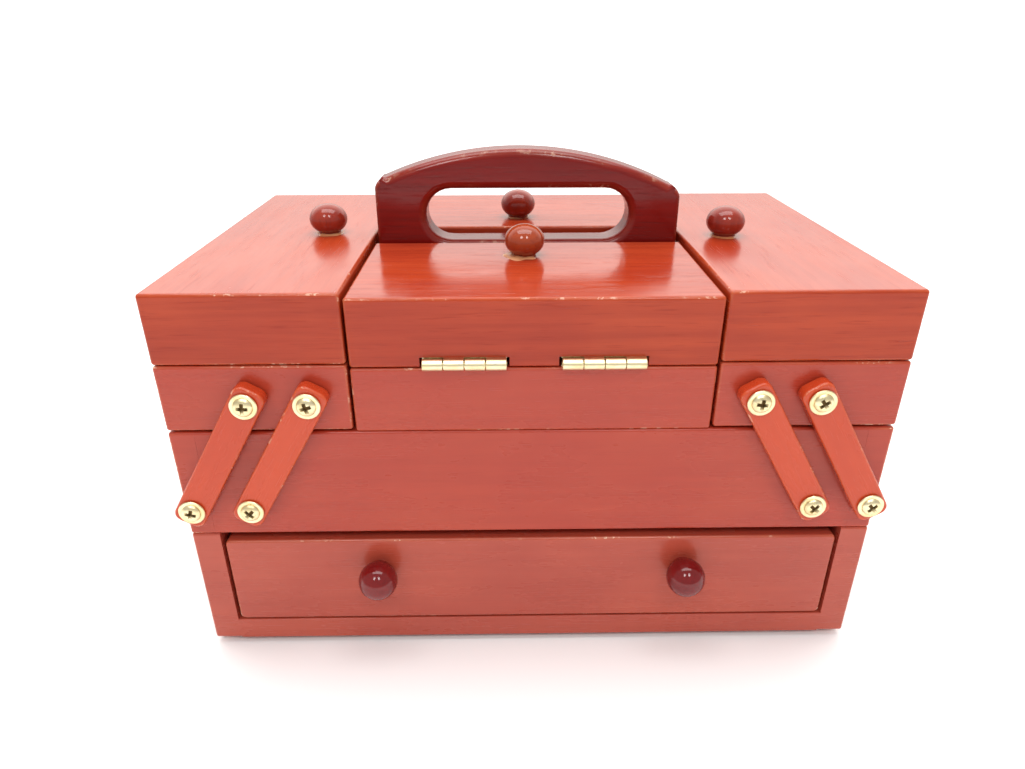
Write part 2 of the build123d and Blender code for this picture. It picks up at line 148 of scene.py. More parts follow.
def makeLacquerSkin():
    group, given, result = startGroup(
        "lacquerSkin",
        [("Vector", "Vector", None), ("Seed", "Float", 0.0)],
        [("Height", "Float"), ("Smears", "Float")])
    peel = stretchedNoise(group, given["Vector"], given["Seed"], (190, 190, 190), 1.0, 0.4, 2.2)
    sags = stretchedNoise(group, given["Vector"], given["Seed"], (30, 30, 30), 2.0, 0.5, 8.1)
    smears = stretchedNoise(group, given["Vector"], given["Seed"], (18, 55, 55), 4.0, 0.65, 15.0)
    group.links.new(addMath(group, "ADD", addMath(group, "MULTIPLY", peel, 0.35), sags), result["Height"])
    group.links.new(remap(group, smears, 0.35, 0.7), result["Smears"])
    return group


woodGrain, edgeWear, lacquerSkin = makeWoodGrain(), makeEdgeWear(), makeLacquerSkin()


def startMaterial(name):
    material = bpy.data.materials.new(name)
    material.use_nodes = True
    tree = material.node_tree
    surface = tree.nodes["Principled BSDF"]
    return material, tree, surface


def useGroup(tree, group, **inputs):
    node = tree.nodes.new("ShaderNodeGroup")
    node.node_tree = group
    for key, value in inputs.items():
        if isinstance(value, bpy.types.NodeSocket):
            tree.links.new(value, node.inputs[key])
        else:
            node.inputs[key].default_value = value
    return node.outputs


def readAttribute(tree, name):
    settings = {"attribute_name": name, "attribute_type": "GEOMETRY"}
    return addNode(tree, "ShaderNodeAttribute", **settings).outputs["Fac"]


armLean = radians(30.7)
grainTurn = {"x": (0, 0, 0), "y": (0, 0, radians(90)), "z": (0, radians(90), 0),
             "leftArm": (0, radians(90) - armLean, 0), "rightArm": (0, radians(90) + armLean, 0)}


def makeLacquer(name, along, stain, dark, light, gloss=0.24, wear=0.5, grain=0.5, bump=0.25, ior=1.48):
    material, tree, surface = startMaterial(name)
    place = addNode(tree, "ShaderNodeTexCoord").outputs["Object"]
    turned = addNode(tree, "ShaderNodeMapping", {"Vector": place, "Rotation": grainTurn[along]}).outputs[0]
    seed, edge = readAttribute(tree, "boardSeed"), readAttribute(tree, "edge")
    wood = useGroup(tree, woodGrain, Vector=turned, Seed=seed)
    worn = useGroup(tree, edgeWear, Vector=place, Edge=edge, Seed=seed, Amount=wear)
    skin = useGroup(tree, lacquerSkin, Vector=turned, Seed=seed)

    colour = blendColour(tree, addMath(tree, "MULTIPLY", wood["Blotches"], 0.55), stain, light)
    colour = blendColour(tree, addMath(tree, "MULTIPLY", wood["Figure"], 0.35 * grain), colour, light)
    colour = blendColour(tree, addMath(tree, "MULTIPLY", wood["Streaks"], 0.6 * grain), colour, dark)
    colour = blendColour(tree, addMath(tree, "MULTIPLY", wood["Pores"], 0.65 * grain), colour, dark)
    colour = blendColour(tree, addMath(tree, "MULTIPLY", worn["Thin"], 0.5), colour, wearColours["thin"])
    colour = blendColour(tree, worn["Chips"], colour, wearColours["bare"])
    tree.links.new(colour, surface.inputs["Base Color"])

    rough = addMath(tree, "ADD", addMath(tree, "MULTIPLY", skin["Smears"], 0.1), gloss - 0.04)
    rough = addMath(tree, "ADD", rough, addMath(tree, "MULTIPLY", wood["Pores"], 0.08))
    rough = addMath(tree, "ADD", rough, addMath(tree, "MULTIPLY", worn["Chips"], 0.4), clamp=True)
    tree.links.new(rough, surface.inputs["Roughness"])

    relief = addMath(tree, "MULTIPLY", wood["Pores"], -0.35 * grain)
    relief = addMath(tree, "ADD", relief, addMath(tree, "MULTIPLY", wood["Streaks"], 0.12 * grain))
    relief = addMath(tree, "ADD", relief, addMath(tree, "MULTIPLY", skin["Height"], 0.5))
    relief = addMath(tree, "SUBTRACT", relief, addMath(tree, "MULTIPLY", worn["Chips"], 0.8))
    ripple = addNode(tree, "ShaderNodeBump", {"Strength": bump, "Distance": 0.00035, "Height": relief})
    tree.links.new(ripple.outputs[0], surface.inputs["Normal"])
    surface.inputs["IOR"].default_value = ior
    return material


wearColours = {"thin": (0.62, 0.17, 0.06, 1), "bare": (0.86, 0.62, 0.44, 1)}
stains = {
    "panel": {"stain": (0.42, 0.042, 0.020, 1),
              "dark": (0.26, 0.016, 0.009, 1), "light": (0.48, 0.062, 0.026, 1)},
    "lid": {"stain": (0.39, 0.038, 0.013, 1),
            "dark": (0.23, 0.013, 0.005, 1), "light": (0.50, 0.064, 0.016, 1)},
    # low: a paler copy of the panel lacquer for the parts near the floor; its raised green and blue paint
    # the floor's sheen reflected in the lower fronts
    "low": {"stain": (0.42, 0.064, 0.038, 1),
            "dark": (0.28, 0.024, 0.014, 1), "light": (0.52, 0.092, 0.050, 1)},
    "arm": {"stain": (0.54, 0.054, 0.014, 1),
            "dark": (0.36, 0.025, 0.008, 1), "light": (0.62, 0.072, 0.018, 1)},
    # handle: a darker copy of the panels' lacquer, painting the shade the handle sits in between the lids
    "handle": {"stain": (0.20, 0.006, 0.005, 1),
               "dark": (0.07, 0.003, 0.003, 1), "light": (0.26, 0.009, 0.006, 1)},
    "knob": {"stain": (0.24, 0.017, 0.011, 1),
             "dark": (0.09, 0.006, 0.006, 1), "light": (0.42, 0.052, 0.022, 1)},
    "amberKnob": {"stain": (0.27, 0.024, 0.010, 1),
                  "dark": (0.10, 0.007, 0.006, 1), "light": (0.48, 0.090, 0.024, 1)},
    "glue": {"stain": (0.60, 0.230, 0.090, 1),
             "dark": (0.42, 0.080, 0.030, 1), "light": (0.80, 0.460, 0.240, 1)},
    "darkKnob": {"stain": (0.17, 0.007, 0.008, 1),
                 "dark": (0.06, 0.003, 0.004, 1), "light": (0.30, 0.018, 0.014, 1)},
    "inside": {"stain": (0.42, 0.100, 0.050, 1),
               "dark": (0.24, 0.045, 0.022, 1), "light": (0.56, 0.170, 0.085, 1)},
}
finishes = {
    "panelAcross": makeLacquer("panelAcross", "x", **stains["panel"], gloss=0.28, grain=0.25, wear=0.8),
    "panelDeep": makeLacquer("panelDeep", "y", **stains["panel"], gloss=0.28, grain=0.25),
    # the middle box's front: edge wear turned up, so that its pale chips are partly real wear and partly
    # painted highlight glints along the top edge
    "wearAndHighlightAcross": makeLacquer("wearAndHighlightAcross", "x", **stains["panel"], gloss=0.28, grain=0.25, wear=1.8),
    # the base boards and the drawer front take the paler lacquer with the painted floor sheen
    "lowPaintedSheenAcross": makeLacquer("lowPaintedSheenAcross", "x", **stains["low"], gloss=0.26, grain=0.25, wear=0.8),
    "lowPaintedSheenDeep": makeLacquer("lowPaintedSheenDeep", "y", **stains["low"], gloss=0.26, grain=0.25),
    "glue": makeLacquer("glueSmear", "x", **stains["glue"], gloss=0.3, grain=0.8, wear=0.0),
    "lidAcross": makeLacquer("lidAcross", "x", **stains["lid"],
                             gloss=0.16, grain=0.6, wear=0.8, ior=1.38),
    "lidDeep": makeLacquer("lidDeep", "y", **stains["lid"], gloss=0.2, grain=0.4, wear=0.6),
    "leftArm": makeLacquer("leftArmLacquer", "leftArm", **stains["arm"],
                           gloss=0.26, grain=0.15, wear=0.6),
    "rightArm": makeLacquer("rightArmLacquer", "rightArm", **stains["arm"],
                            gloss=0.26, grain=0.15, wear=0.6),
    # the handle's darker stain paints its shade, and its edge wear is partly real and partly a painted
    # highlight line along the arris
    "handle": makeLacquer("handleShadedLacquer", "x", **stains["handle"],
                          gloss=0.18, grain=0.5, wear=0.3, ior=1.42),
    "knob": makeLacquer("knobLacquer", "z", **stains["knob"],
                        gloss=0.10, grain=0.5, wear=0.0, bump=0.1),
    "amberKnob": makeLacquer("amberKnobLacquer", "x", **stains["amberKnob"],
                             gloss=0.10, grain=0.5, wear=0.0, bump=0.1),
    "darkKnob": makeLacquer("darkKnobLacquer", "y", **stains["darkKnob"],
                            gloss=0.08, grain=0.4, wear=0.0, bump=0.1),
    "insideAcross": makeLacquer("insideAcross", "x", **stains["inside"],
                                gloss=0.5, grain=0.8, wear=0.4),
    "insideDeep": makeLacquer("insideDeep", "y", **stains["inside"], gloss=0.5, grain=0.8, wear=0.4),
}


def makeBrass():
    material, tree, surface = startMaterial("brassPlate")
    place = addNode(tree, "ShaderNodeTexCoord").outputs["Object"]
    clouds = stretchedNoise(tree, place, 0.0, (160, 160, 160), 4.0, 0.6, 1.0)
    specks = stretchedNoise(tree, place, 0.0, (900, 900, 900), 3.0, 0.6, 4.0)
    edge, deep = readAttribute(tree, "edge"), readAttribute(tree, "recess")
    colour = blendColour(tree, remap(tree, clouds, 0.35, 0.7), (0.90, 0.80, 0.52, 1), (0.80, 0.66, 0.36, 1))
    colour = blendColour(tree, remap(tree, specks, 0.66, 0.76), colour, (0.55, 0.40, 0.18, 1))
    colour = blendColour(tree, addMath(tree, "MULTIPLY", edge, 0.4), colour, (0.95, 0.88, 0.62, 1))
    # painted shade: the recess of each screw head is coloured dark brown
    colour = blendColour(tree, deep, colour, (0.16, 0.10, 0.04, 1))
    tree.links.new(colour, surface.inputs["Base Color"])
    cloudy = remap(tree, clouds, 0.3, 0.7, 0.3, 0.42)
    rough = addMath(tree, "ADD", cloudy, addMath(tree, "MULTIPLY", deep, 0.3))
    tree.links.new(rough, surface.inputs["Roughness"])
    ripple = addNode(tree, "ShaderNodeBump", {"Strength": 0.2, "Distance": 0.0001, "Height": clouds})
    tree.links.new(ripple.outputs[0], surface.inputs["Normal"])
    surface.inputs["Metallic"].default_value = 1.0
    return material


finishes["brass"] = makeBrass()
print("materials made")


# shared mesh building
def markEdges(bm, measure):  # 1 on rounded edges and 0 on flat faces
    layer = bm.verts.layers.float.new("edge")
    bm.normal_update()
    for vertex in bm.verts:
        flat = any(measure(face.normal) < 0.01 for face in vertex.link_faces)
        vertex[layer] = 0.0 if flat else measure(vertex.normal)


def boxEdges(n):
    return min(1.0, 4 * (n.x * n.x * n.y * n.y + n.y * n.y * n.z * n.z + n.z * n.z * n.x * n.x))


def noEdges(n):
    return 0.0


pieceCount = 0
creaseAngle = radians(38)


def addPiece(bm, name, finish, node, hidesNode=True, measure=boxEdges, ends=None, seed=None):
    global pieceCount
    pieceCount += 1
    bmesh.ops.remove_doubles(bm, verts=bm.verts, dist=1e-7)
    bmesh.ops.recalc_face_normals(bm, faces=bm.faces)
    if "edge" not in bm.verts.layers.float:
        markEdges(bm, measure)
    seedLayer = bm.verts.layers.float.new("boardSeed")
    seed = (pieceCount * 7.37) % 61 if seed is None else seed
    for vertex in bm.verts:
        vertex[seedLayer] = seed
    for face in bm.faces:
        face.smooth = True
        face.material_index = 1 if ends and abs(face.normal.y) > 0.71 else 0
    for edge in bm.edges:
        edge.smooth = len(edge.link_faces) == 2 and edge.calc_face_angle(0) < creaseAngle
    mesh = bpy.data.meshes.new(name)
    bm.to_mesh(mesh)
    bm.free()
    mesh.materials.append(finishes[finish])
    if ends:
        mesh.materials.append(finishes[ends])
    piece = bpy.data.objects.new(name, mesh)
    scene.collection.objects.link(piece)
    piece.modifiers.new("flatFaceNormals", "WEIGHTED_NORMAL").keep_sharp = True
    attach(piece, bodyOf[node])
    if hidesNode:
        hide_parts(node)


def bevelEdges(bm, edges, offset, segments, clamp=True):
    if edges:
        bmesh.ops.bevel(bm, geom=edges, offset=offset, offset_type="OFFSET", segments=segments, profile=0.5,
                        affect="EDGES", clamp_overlap=clamp, material=-1)


faceSides = {"left": (0, -1), "right": (0, 1), "front": (1, -1), "back": (1, 1),
             "bottom": (2, -1), "top": (2, 1)}


def startBlock(low, high):
    bm = bmesh.new()
    bmesh.ops.create_cube(bm, size=1.0)
    size, middle = Vector(high) - Vector(low), (Vector(high) + Vector(low)) / 2
    bmesh.ops.scale(bm, vec=size, verts=bm.verts)
    bmesh.ops.translate(bm, vec=middle, verts=bm.verts)
    return bm


def plank(low, high, glued=(), rounding=1.2 * mm, segments=5, hairline=0.0):
    low, high = Vector(low), Vector(high)
    for side in glued:  # a hairline where two boards meet
        axis, way = faceSides[side]
        if way > 0:
            high[axis] -= hairline
        else:
            low[axis] += hairline
    bm = startBlock(low, high)
    sharp = set()
    for side in glued:
        axis, way = faceSides[side]
        for face in bm.faces:
            if face.normal[axis] * way > 0.9:
                sharp.update(face.edges)
    bevelEdges(bm, [edge for edge in bm.edges if edge not in sharp], rounding, segments)
    return bm


def addTo(bm, other):
    mesh = bpy.data.meshes.new("part")
    other.to_mesh(mesh)
    other.free()
    bm.from_mesh(mesh)
    bpy.data.meshes.remove(mesh)
    return bm


def camel(node, ending=""):
    first, *rest = node.split("_")
    return first + "".join(word.title() for word in rest) + ending


# a flat outline in XZ, its corners rounded, made thick in Y
def slabFrom(corners, thickness, rounding=0.0, segments=6):
    bm = bmesh.new()
    bm.faces.new([bm.verts.new((x, 0, z)) for x, z in corners])
    if rounding:
        bmesh.ops.bevel(bm, geom=bm.verts[:], offset=rounding, offset_type="OFFSET", segments=segments,
                        profile=0.5, affect="VERTICES", clamp_overlap=True, material=-1)
    made = bmesh.ops.extrude_face_region(bm, geom=bm.faces[:])["geom"]
    farVerts = [item for item in made if isinstance(item, bmesh.types.BMVert)]
    bmesh.ops.translate(bm, vec=(0, thickness, 0), verts=farVerts)
    bmesh.ops.recalc_face_normals(bm, faces=bm.faces)
    return bm


def rimOf(bm, test=lambda edge: True):  # the edges round a slab's two flat faces
    flat = [face for face in bm.faces if abs(face.normal.y) > 0.99]
    return [edge for edge in {edge for face in flat for edge in face.edges} if test(edge)]


def slabEdges(n):
    return min(1.0, 4 * n.y * n.y * (1 - n.y * n.y))


def cutWith(bm, cutter):  # takes a second closed shape out of the first
    bodies = []
    for shape in (bm, cutter):
        mesh = bpy.data.meshes.new("cut")
        shape.to_mesh(mesh)
        shape.free()
        bodies.append(bpy.data.objects.new("cut", mesh))
        scene.collection.objects.link(bodies[-1])
    cut = bodies[0].modifiers.new("cut", "BOOLEAN")
    cut.operation, cut.solver, cut.object = "DIFFERENCE", "EXACT", bodies[1]
    bpy.context.view_layer.update()
    result = bpy.data.meshes.new_from_object(bodies[0].evaluated_get(bpy.context.evaluated_depsgraph_get()))
    fresh = bmesh.new()
    fresh.from_mesh(result)
    bpy.data.meshes.remove(result)
    for body in bodies:
        mesh = body.data
        bpy.data.objects.remove(body)
        bpy.data.meshes.remove(mesh)
    return fresh


def turned(profile, segments=48):  # spins radius and height pairs about Z
    bm = bmesh.new()
    verts = [bm.verts.new((radius, 0, height)) for radius, height in profile]
    edges = [bm.edges.new(pair) for pair in zip(verts, verts[1:])]
    bmesh.ops.spin(bm, geom=verts + edges, axis=(0, 0, 1), cent=(0, 0, 0), angle=2 * pi, steps=segments,
                   use_merge=True)
    bmesh.ops.remove_doubles(bm, verts=bm.verts, dist=1e-7)
    bmesh.ops.recalc_face_normals(bm, faces=bm.faces)
    return bm


def placed(bm, matrix):
    bmesh.ops.transform(bm, matrix=matrix, verts=bm.verts)
    return bm


def mergedInto(shapes):
    whole = bmesh.new()
    for shape in shapes:
        addTo(whole, shape)
    return whole


def measured(node):
    low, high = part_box(node)
    return low, high, (low + high) / 2, high - low


# boards of the drawer housing, the middle box, the centre box and the trays
boardLook = {"rounding": 1.2 * mm, "ease": 0.4 * mm, "segments": 5, "hairline": 0.02 * mm}
boards = {
    # the base boards carry the painted floor sheen
    "base_left_side": ("lowPaintedSheenDeep", ["right"], "rounding"),
    "base_right_side": ("lowPaintedSheenDeep", ["left"], "rounding"),
    "base_bottom": ("lowPaintedSheenAcross", ["left", "right", "back"], "ease"),
    "base_back": ("lowPaintedSheenAcross", ["left", "right", "bottom"], "ease"),
    "middle_left_side": ("panelDeep", ["right"], "rounding"),
    "middle_right_side": ("panelDeep", ["left"], "rounding"),
    # the middle front's pale chips along its top edge are partly painted highlight glints
    "middle_front": ("wearAndHighlightAcross", ["left", "right", "back"], "rounding"),
    "middle_back": ("panelAcross", ["left", "right", "front"], "rounding"),
    "centre_front_wall": ("panelAcross", ["back"], "rounding"),
    "centre_back_wall": ("panelAcross", ["front"], "rounding"),
}
for side, other in (("left", "right"), ("right", "left")):
    boards[f"{side}_tray_front"] = ("panelAcross", ["back"], "rounding")
    boards[f"{side}_tray_back"] = ("panelAcross", ["front"], "rounding")
    boards[f"{side}_tray_outer_wall"] = ("panelDeep", [other, "front", "back"], "rounding")
    boards[f"{side}_tray_inner_wall"] = ("panelDeep", [side, "front", "back"], "rounding")
groupSeeds = {"base": 3.0, "middle": 11.0, "centre": 19.0, "left": 27.0, "right": 36.0,
              "front": 44.0, "back": 52.0}


def makeBoards():
    for node, (finish, glued, edge) in boards.items():
        low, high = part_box(node)
        group = node.split("_")[0]
        hairline = boardLook["hairline"] if group == "middle" else 0.0
        bm = plank(low, high, glued, boardLook[edge], boardLook["segments"], hairline)
        # the base boards' ends also carry the painted floor sheen, and the middle box's ends carry pale
        # chips that are partly painted highlight glints
        ends = {"base": "lowPaintedSheenAcross", "middle": "wearAndHighlightAcross"}.get(group, "panelAcross")
        addPiece(bm, camel(node, "Board"), finish, node, ends=ends, seed=groupSeeds[group])


makeBoards()
print("boxes and trays made")


# feet
footLook = {"radius": 4.6 * mm, "round": 1.0 * mm, "segments": 32, "steps": 5}


def makeFeet():
    low, high, middle, size = measured("feet")
    radius, rounded, steps = footLook["radius"], footLook["round"], footLook["steps"]
    shapes = []
    for x in (low.x + radius, high.x - radius):
        for y in (low.y + radius, high.y - radius):
            profile = [(0, 0), (radius - rounded, 0)]
            for step in range(1, steps + 1):
                turn = step / steps * pi / 2
                profile.append((radius - rounded + rounded * sin(turn), rounded - rounded * cos(turn)))
            profile += [(radius, high.z), (0, high.z)]
            shapes.append(placed(turned(profile, footLook["segments"]), Matrix.Translation((x, y, 0))))
    addPiece(mergedInto(shapes), "feetTurned", "darkKnob", "feet", measure=noEdges)


makeFeet()


# lids
lidLook = {"wall": 8.0 * mm, "rounding": 1.3 * mm, "segments": 6, "hingeLength": 31.0 * mm,
           "notchMargin": 1.0 * mm, "notchHeight": 4.1 * mm}
hingePlaces = {"front": 25.6 * mm, "back": 25.6 * mm, "left": 48.0 * mm, "right": 48.0 * mm}
lidPlace = {"front": ("x", -1), "back": ("x", 1), "left": ("y", -1), "right": ("y", 1)}


def notchedBoard(name, low, high, glued):  # the lid's hinge board, with a notch over each hinge
    axis, way = lidPlace[name]
    along = 0 if axis == "x" else 1
    middle = (low[along] + high[along]) / 2
    bm = plank(low, high, glued, lidLook["rounding"], lidLook["segments"])
    half = lidLook["hingeLength"] / 2 + lidLook["notchMargin"]
    cutters = []
    for hand in (-1, 1):
        cutLow, cutHigh = Vector(low), Vector(high)
        cutLow[along] = middle + hand * hingePlaces[name] - half
        cutHigh[along] = middle + hand * hingePlaces[name] + half
        cutLow[1 - along] -= mm
        cutHigh[1 - along] += mm
        cutLow.z, cutHigh.z = low.z - mm, low.z + lidLook["notchHeight"]
        cutters.append(startBlock(cutLow, cutHigh))
    return cutWith(bm, mergedInto(cutters))


def makeLid(name):
    across = name in ("front", "back")
    low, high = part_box(f"{name}_lid_rim")
    topLow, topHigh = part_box(f"{name}_lid_top")
    wall = lidLook["wall"]
    finish = "lidAcross" if across else "lidDeep"
    shapes = []
    spans = {
        "front": ((low.x, low.y), (high.x, low.y + wall), ["back", "top"]),
        "back": ((low.x, high.y - wall), (high.x, high.y), ["front", "top"]),
        "left": ((low.x, low.y + wall), (low.x + wall, high.y - wall), ["front", "back", "right", "top"]),
        "right": ((high.x - wall, low.y + wall), (high.x, high.y - wall), ["front", "back", "left", "top"]),
    }
    for place, (start, end, glued) in spans.items():
        boardLow, boardHigh = Vector((*start, low.z)), Vector((*end, high.z))
        if place == name:
            shapes.append(notchedBoard(name, boardLow, boardHigh, glued))
        else:
            shapes.append(plank(boardLow, boardHigh, glued, lidLook["rounding"], lidLook["segments"]))
    seed = groupSeeds[name]
    addPiece(mergedInto(shapes), f"{name}LidRim", finish, f"{name}_lid_rim", ends="lidAcross", seed=seed)
    top = plank(topLow, topHigh, ["bottom"], lidLook["rounding"], lidLook["segments"])
    addPiece(top, f"{name}LidTop", finish, f"{name}_lid_top", ends="lidAcross", seed=seed)


for lidName in lidPlace:
    makeLid(lidName)
print("lids made")


# knobs
knobLook = {"radius": 8.0 * mm, "lidRadius": 8.39 * mm, "lidHalfHeight": 6.7 * mm, "neck": 4.9 * mm,
            "pegRadius": 2.9 * mm, "pegLength": 4.5 * mm, "segments": 64, "rings": 22}


def knobDrop(radius, halfHeight):  # from the ball's middle down to its neck
    return halfHeight * sqrt(1 - (knobLook["neck"] / radius) ** 2)


def turnedKnob(collar, radius, halfHeight):
    neck, drop = knobLook["neck"], knobDrop(radius, halfHeight)
    start = acos(-drop / halfHeight)
    profile = [(0, -knobLook["pegLength"]), (knobLook["pegRadius"], -knobLook["pegLength"]),
               (knobLook["pegRadius"], 0), (neck, 0), (neck, collar)]
    for ring in range(1, knobLook["rings"] + 1):
        turn = start * (1 - ring / knobLook["rings"])
        profile.append((radius * sin(turn), collar + drop + halfHeight * cos(turn)))
    return turned(profile, knobLook["segments"])


# old glue squeezed out around the lid knobs: how far it reaches and how far it lies to the left
glueLook = {"tall": 0.8 * mm, "sink": 0.05 * mm, "spokes": 72, "rings": 6, "smears": {
    "front": (7.2 * mm, 1.6 * mm), "back": (5.4 * mm, 0.0),
    "left": (6.4 * mm, 0.2 * mm), "right": (6.0 * mm, -0.3 * mm)}}


def glueRing(reach, seed):
    rng = random.Random(seed)
    waves = [(rng.uniform(0, 2 * pi), rng.uniform(0.02, 0.07)) for _ in range(7)]
    bm = bmesh.new()
    loops = []
    for ring in range(glueLook["rings"] + 1):
        t = ring / glueLook["rings"]
        loop = []
        for spoke in range(glueLook["spokes"]):
            turn = 2 * pi * spoke / glueLook["spokes"]
            wobble = sum(size * cos((n + 1) * turn + phase) for n, (phase, size) in enumerate(waves))
            radius = reach * (1 - 0.55 * t) * (1 + wobble * (1 - t))
            height = glueLook["tall"] * sqrt(1 - (1 - t) ** 2) * (1 + 1.5 * wobble)
            loop.append(bm.verts.new((radius * cos(turn), radius * sin(turn), height)))
        loops.append(loop)
    for lower, upper in zip(loops, loops[1:]):
        for n in range(glueLook["spokes"]):
            m = (n + 1) % glueLook["spokes"]
            bm.faces.new((lower[n], lower[m], upper[m], upper[n]))
    bm.faces.new(loops[-1])
    return bm


def makeKnobs():
    for name in lidPlace:
        node = f"{name}_lid_knob"
        low, high, middle, size = measured(node)
        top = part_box(f"{name}_lid_top")[1].z
        radius, halfHeight = knobLook["lidRadius"], knobLook["lidHalfHeight"]
        collar = high.z - top - halfHeight - knobDrop(radius, halfHeight)
        bm = placed(turnedKnob(collar, radius, halfHeight), Matrix.Translation((middle.x, middle.y, top)))
        addPiece(bm, f"{name}LidKnob", "amberKnob" if name == "front" else "knob", node, measure=noEdges)
        smear, shift = glueLook["smears"][name]
        ring = glueRing(smear, name)
        place = Matrix.Translation((middle.x - shift, middle.y - 0.4 * shift, top - glueLook["sink"]))
        addPiece(placed(ring, place), f"{name}KnobGlue", "glue", node, hidesNode=False, measure=noEdges)
    low, high, middle, size = measured("drawer_knobs")
    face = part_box("drawer_front")[0].y
    radius = knobLook["radius"]
    collar = face - low.y - radius - knobDrop(radius, radius)
    forward = Matrix.Rotation(radians(90), 4, "X")
    shapes = []
    for x in (low.x + radius, high.x - radius):
        seat = Matrix.Translation((x, face, middle.z))
        shapes.append(placed(turnedKnob(collar, radius, radius), seat @ forward))
    addPiece(mergedInto(shapes), "drawerKnobPair", "darkKnob", "drawer_knobs", measure=noEdges)


makeKnobs()


# handle
handleLook = {"arcRadius": 151.0 * mm, "crownShift": -4.0 * mm, "slotLength": 90.0 * mm,
              "slotHeight": 22.5 * mm, "footWidth": 120.0 * mm, "rounding": 3.6 * mm,
              "slotRounding": 3.6 * mm, "cornerRound": 4.2 * mm, "uprightShare": 0.25,
              "arcSteps": 28, "slotSteps": 14, "segments": 6}


# the upright edges at an end are rounded less than the top
def sharpenEnd(bm, half, endTop, slope, shoulder, frontY, backY):
    rounding, least = handleLook["rounding"], handleLook["uprightShare"]
    turn = pi / 2 - slope
    bend = handleLook["cornerRound"] / tan(turn / 2)
    centreX, centreZ = half - bend, endTop - handleLook["cornerRound"]
    close = 1e-6
    for vertex in bm.verts:
        x, y, z = vertex.co
        face = frontY if y < (frontY + backY) / 2 else backY
        if abs(y - face) > rounding + close or z < shoulder - close or x < centreX:
            continue
        if z <= centreZ + close and half - x <= rounding + close:
            share = least
            vertex.co.x = half - share * (half - x)
        else:
            angle, inset = atan2(z - centreZ, x - centreX), bend - hypot(x - centreX, z - centreZ)
            if angle < 0 or angle > turn or inset > rounding + 20 * close:
                continue
            share = least + (1 - least) * angle / turn
            vertex.co.x = centreX + (bend - share * inset) * cos(angle)
            vertex.co.z = centreZ + (bend - share * inset) * sin(angle)
        vertex.co.y = face + share * (y - face)


def halfHandle(sign, low, high, lidTop, shoulder):  # from the middle out to one end
    look = handleLook
    half, radius = (high.x - low.x) / 2, look["arcRadius"]
    slotHalf, slotRadius = look["slotLength"] / 2, look["slotHeight"] / 2
    slotMiddle = lidTop + slotRadius
    outline = []
    for step in range(look["arcSteps"] + 1):
        x = half * step / look["arcSteps"]
        outline.append((x, high.z - radius + sqrt(radius ** 2 - (sign * x - look["crownShift"]) ** 2)))
    endTop = outline[-1][1]
    footHalf = look["footWidth"] / 2
    outline += [(half, shoulder), (footHalf, shoulder), (footHalf, low.z), (0, low.z)]
    outline.append((0, slotMiddle - slotRadius))
    for step in range(look["slotSteps"] + 1):
        turn = -pi / 2 + pi * step / look["slotSteps"]
        across = slotHalf - slotRadius + slotRadius * cos(turn)
        outline.append((across, slotMiddle + slotRadius * sin(turn)))
    outline.append((0, slotMiddle + slotRadius))
    bm = slabFrom(outline, high.y - low.y)
    bmesh.ops.translate(bm, vec=(0, low.y, 0), verts=bm.verts)

    def isEndCorner(edge):
        a, b = edge.verts
        return min(a.co.x, b.co.x) > half - 1e-6 and min(a.co.z, b.co.z) > endTop - 1e-6

    bevelEdges(bm, [edge for edge in bm.edges if isEndCorner(edge)], look["cornerRound"], 6)

    def isAroundSlot(edge):
        a, b = edge.verts
        return (max(abs(v.co.z - slotMiddle) for v in (a, b)) < slotRadius + 1e-6
                and max(a.co.x, b.co.x) < slotHalf + 1e-6)

    def isOffMiddle(edge):
        return max(vertex.co.x for vertex in edge.verts) > 1e-6

    def isOuter(edge):
        aboveShoulder = min(vertex.co.z for vertex in edge.verts) > shoulder - 1e-6
        return aboveShoulder and isOffMiddle(edge) and not isAroundSlot(edge)

    def isSlot(edge):
        return isAroundSlot(edge) and isOffMiddle(edge)

    bevelEdges(bm, rimOf(bm, isOuter), look["rounding"], look["segments"], clamp=False)
    bevelEdges(bm, rimOf(bm, isSlot), look["slotRounding"], look["segments"], clamp=False)
    slope = asin((half - sign * look["crownShift"]) / radius)
    sharpenEnd(bm, half, endTop, slope, shoulder, low.y, high.y)
    middleFaces = [face for face in bm.faces if abs(face.calc_center_median().x) < 1e-6]
    bmesh.ops.delete(bm, geom=middleFaces, context="FACES")
    if sign < 0:
        bmesh.ops.scale(bm, vec=(-1, 1, 1), verts=bm.verts)
    return bm


def makeHandle():
    low, high, middle, size = measured("handle")
    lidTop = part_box("front_lid_top")[1].z
    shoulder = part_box("centre_side_walls")[1].z + 0.3 * mm
    bm = mergedInto([halfHandle(sign, low, high, lidTop, shoulder) for sign in (1, -1)])
    for vertex in bm.verts:
        if abs(vertex.co.x) < 1e-5:
            vertex.co.x = 0
    bmesh.ops.remove_doubles(bm, verts=bm.verts, dist=2e-6)
    board = placed(bm, Matrix.Translation((middle.x, 0, 0)))
    addPiece(board, "handleBoard", "handle", "handle", measure=slabEdges)


makeHandle()
print("knobs and handle made")


# arms
armLook = {"width": 12.4 * mm, "thickness": 6.0 * mm, "overhang": 6.75 * mm, "corner": 3.6 * mm,
           "ease": 1.1 * mm, "run": 27.6 * mm, "segments": 5}


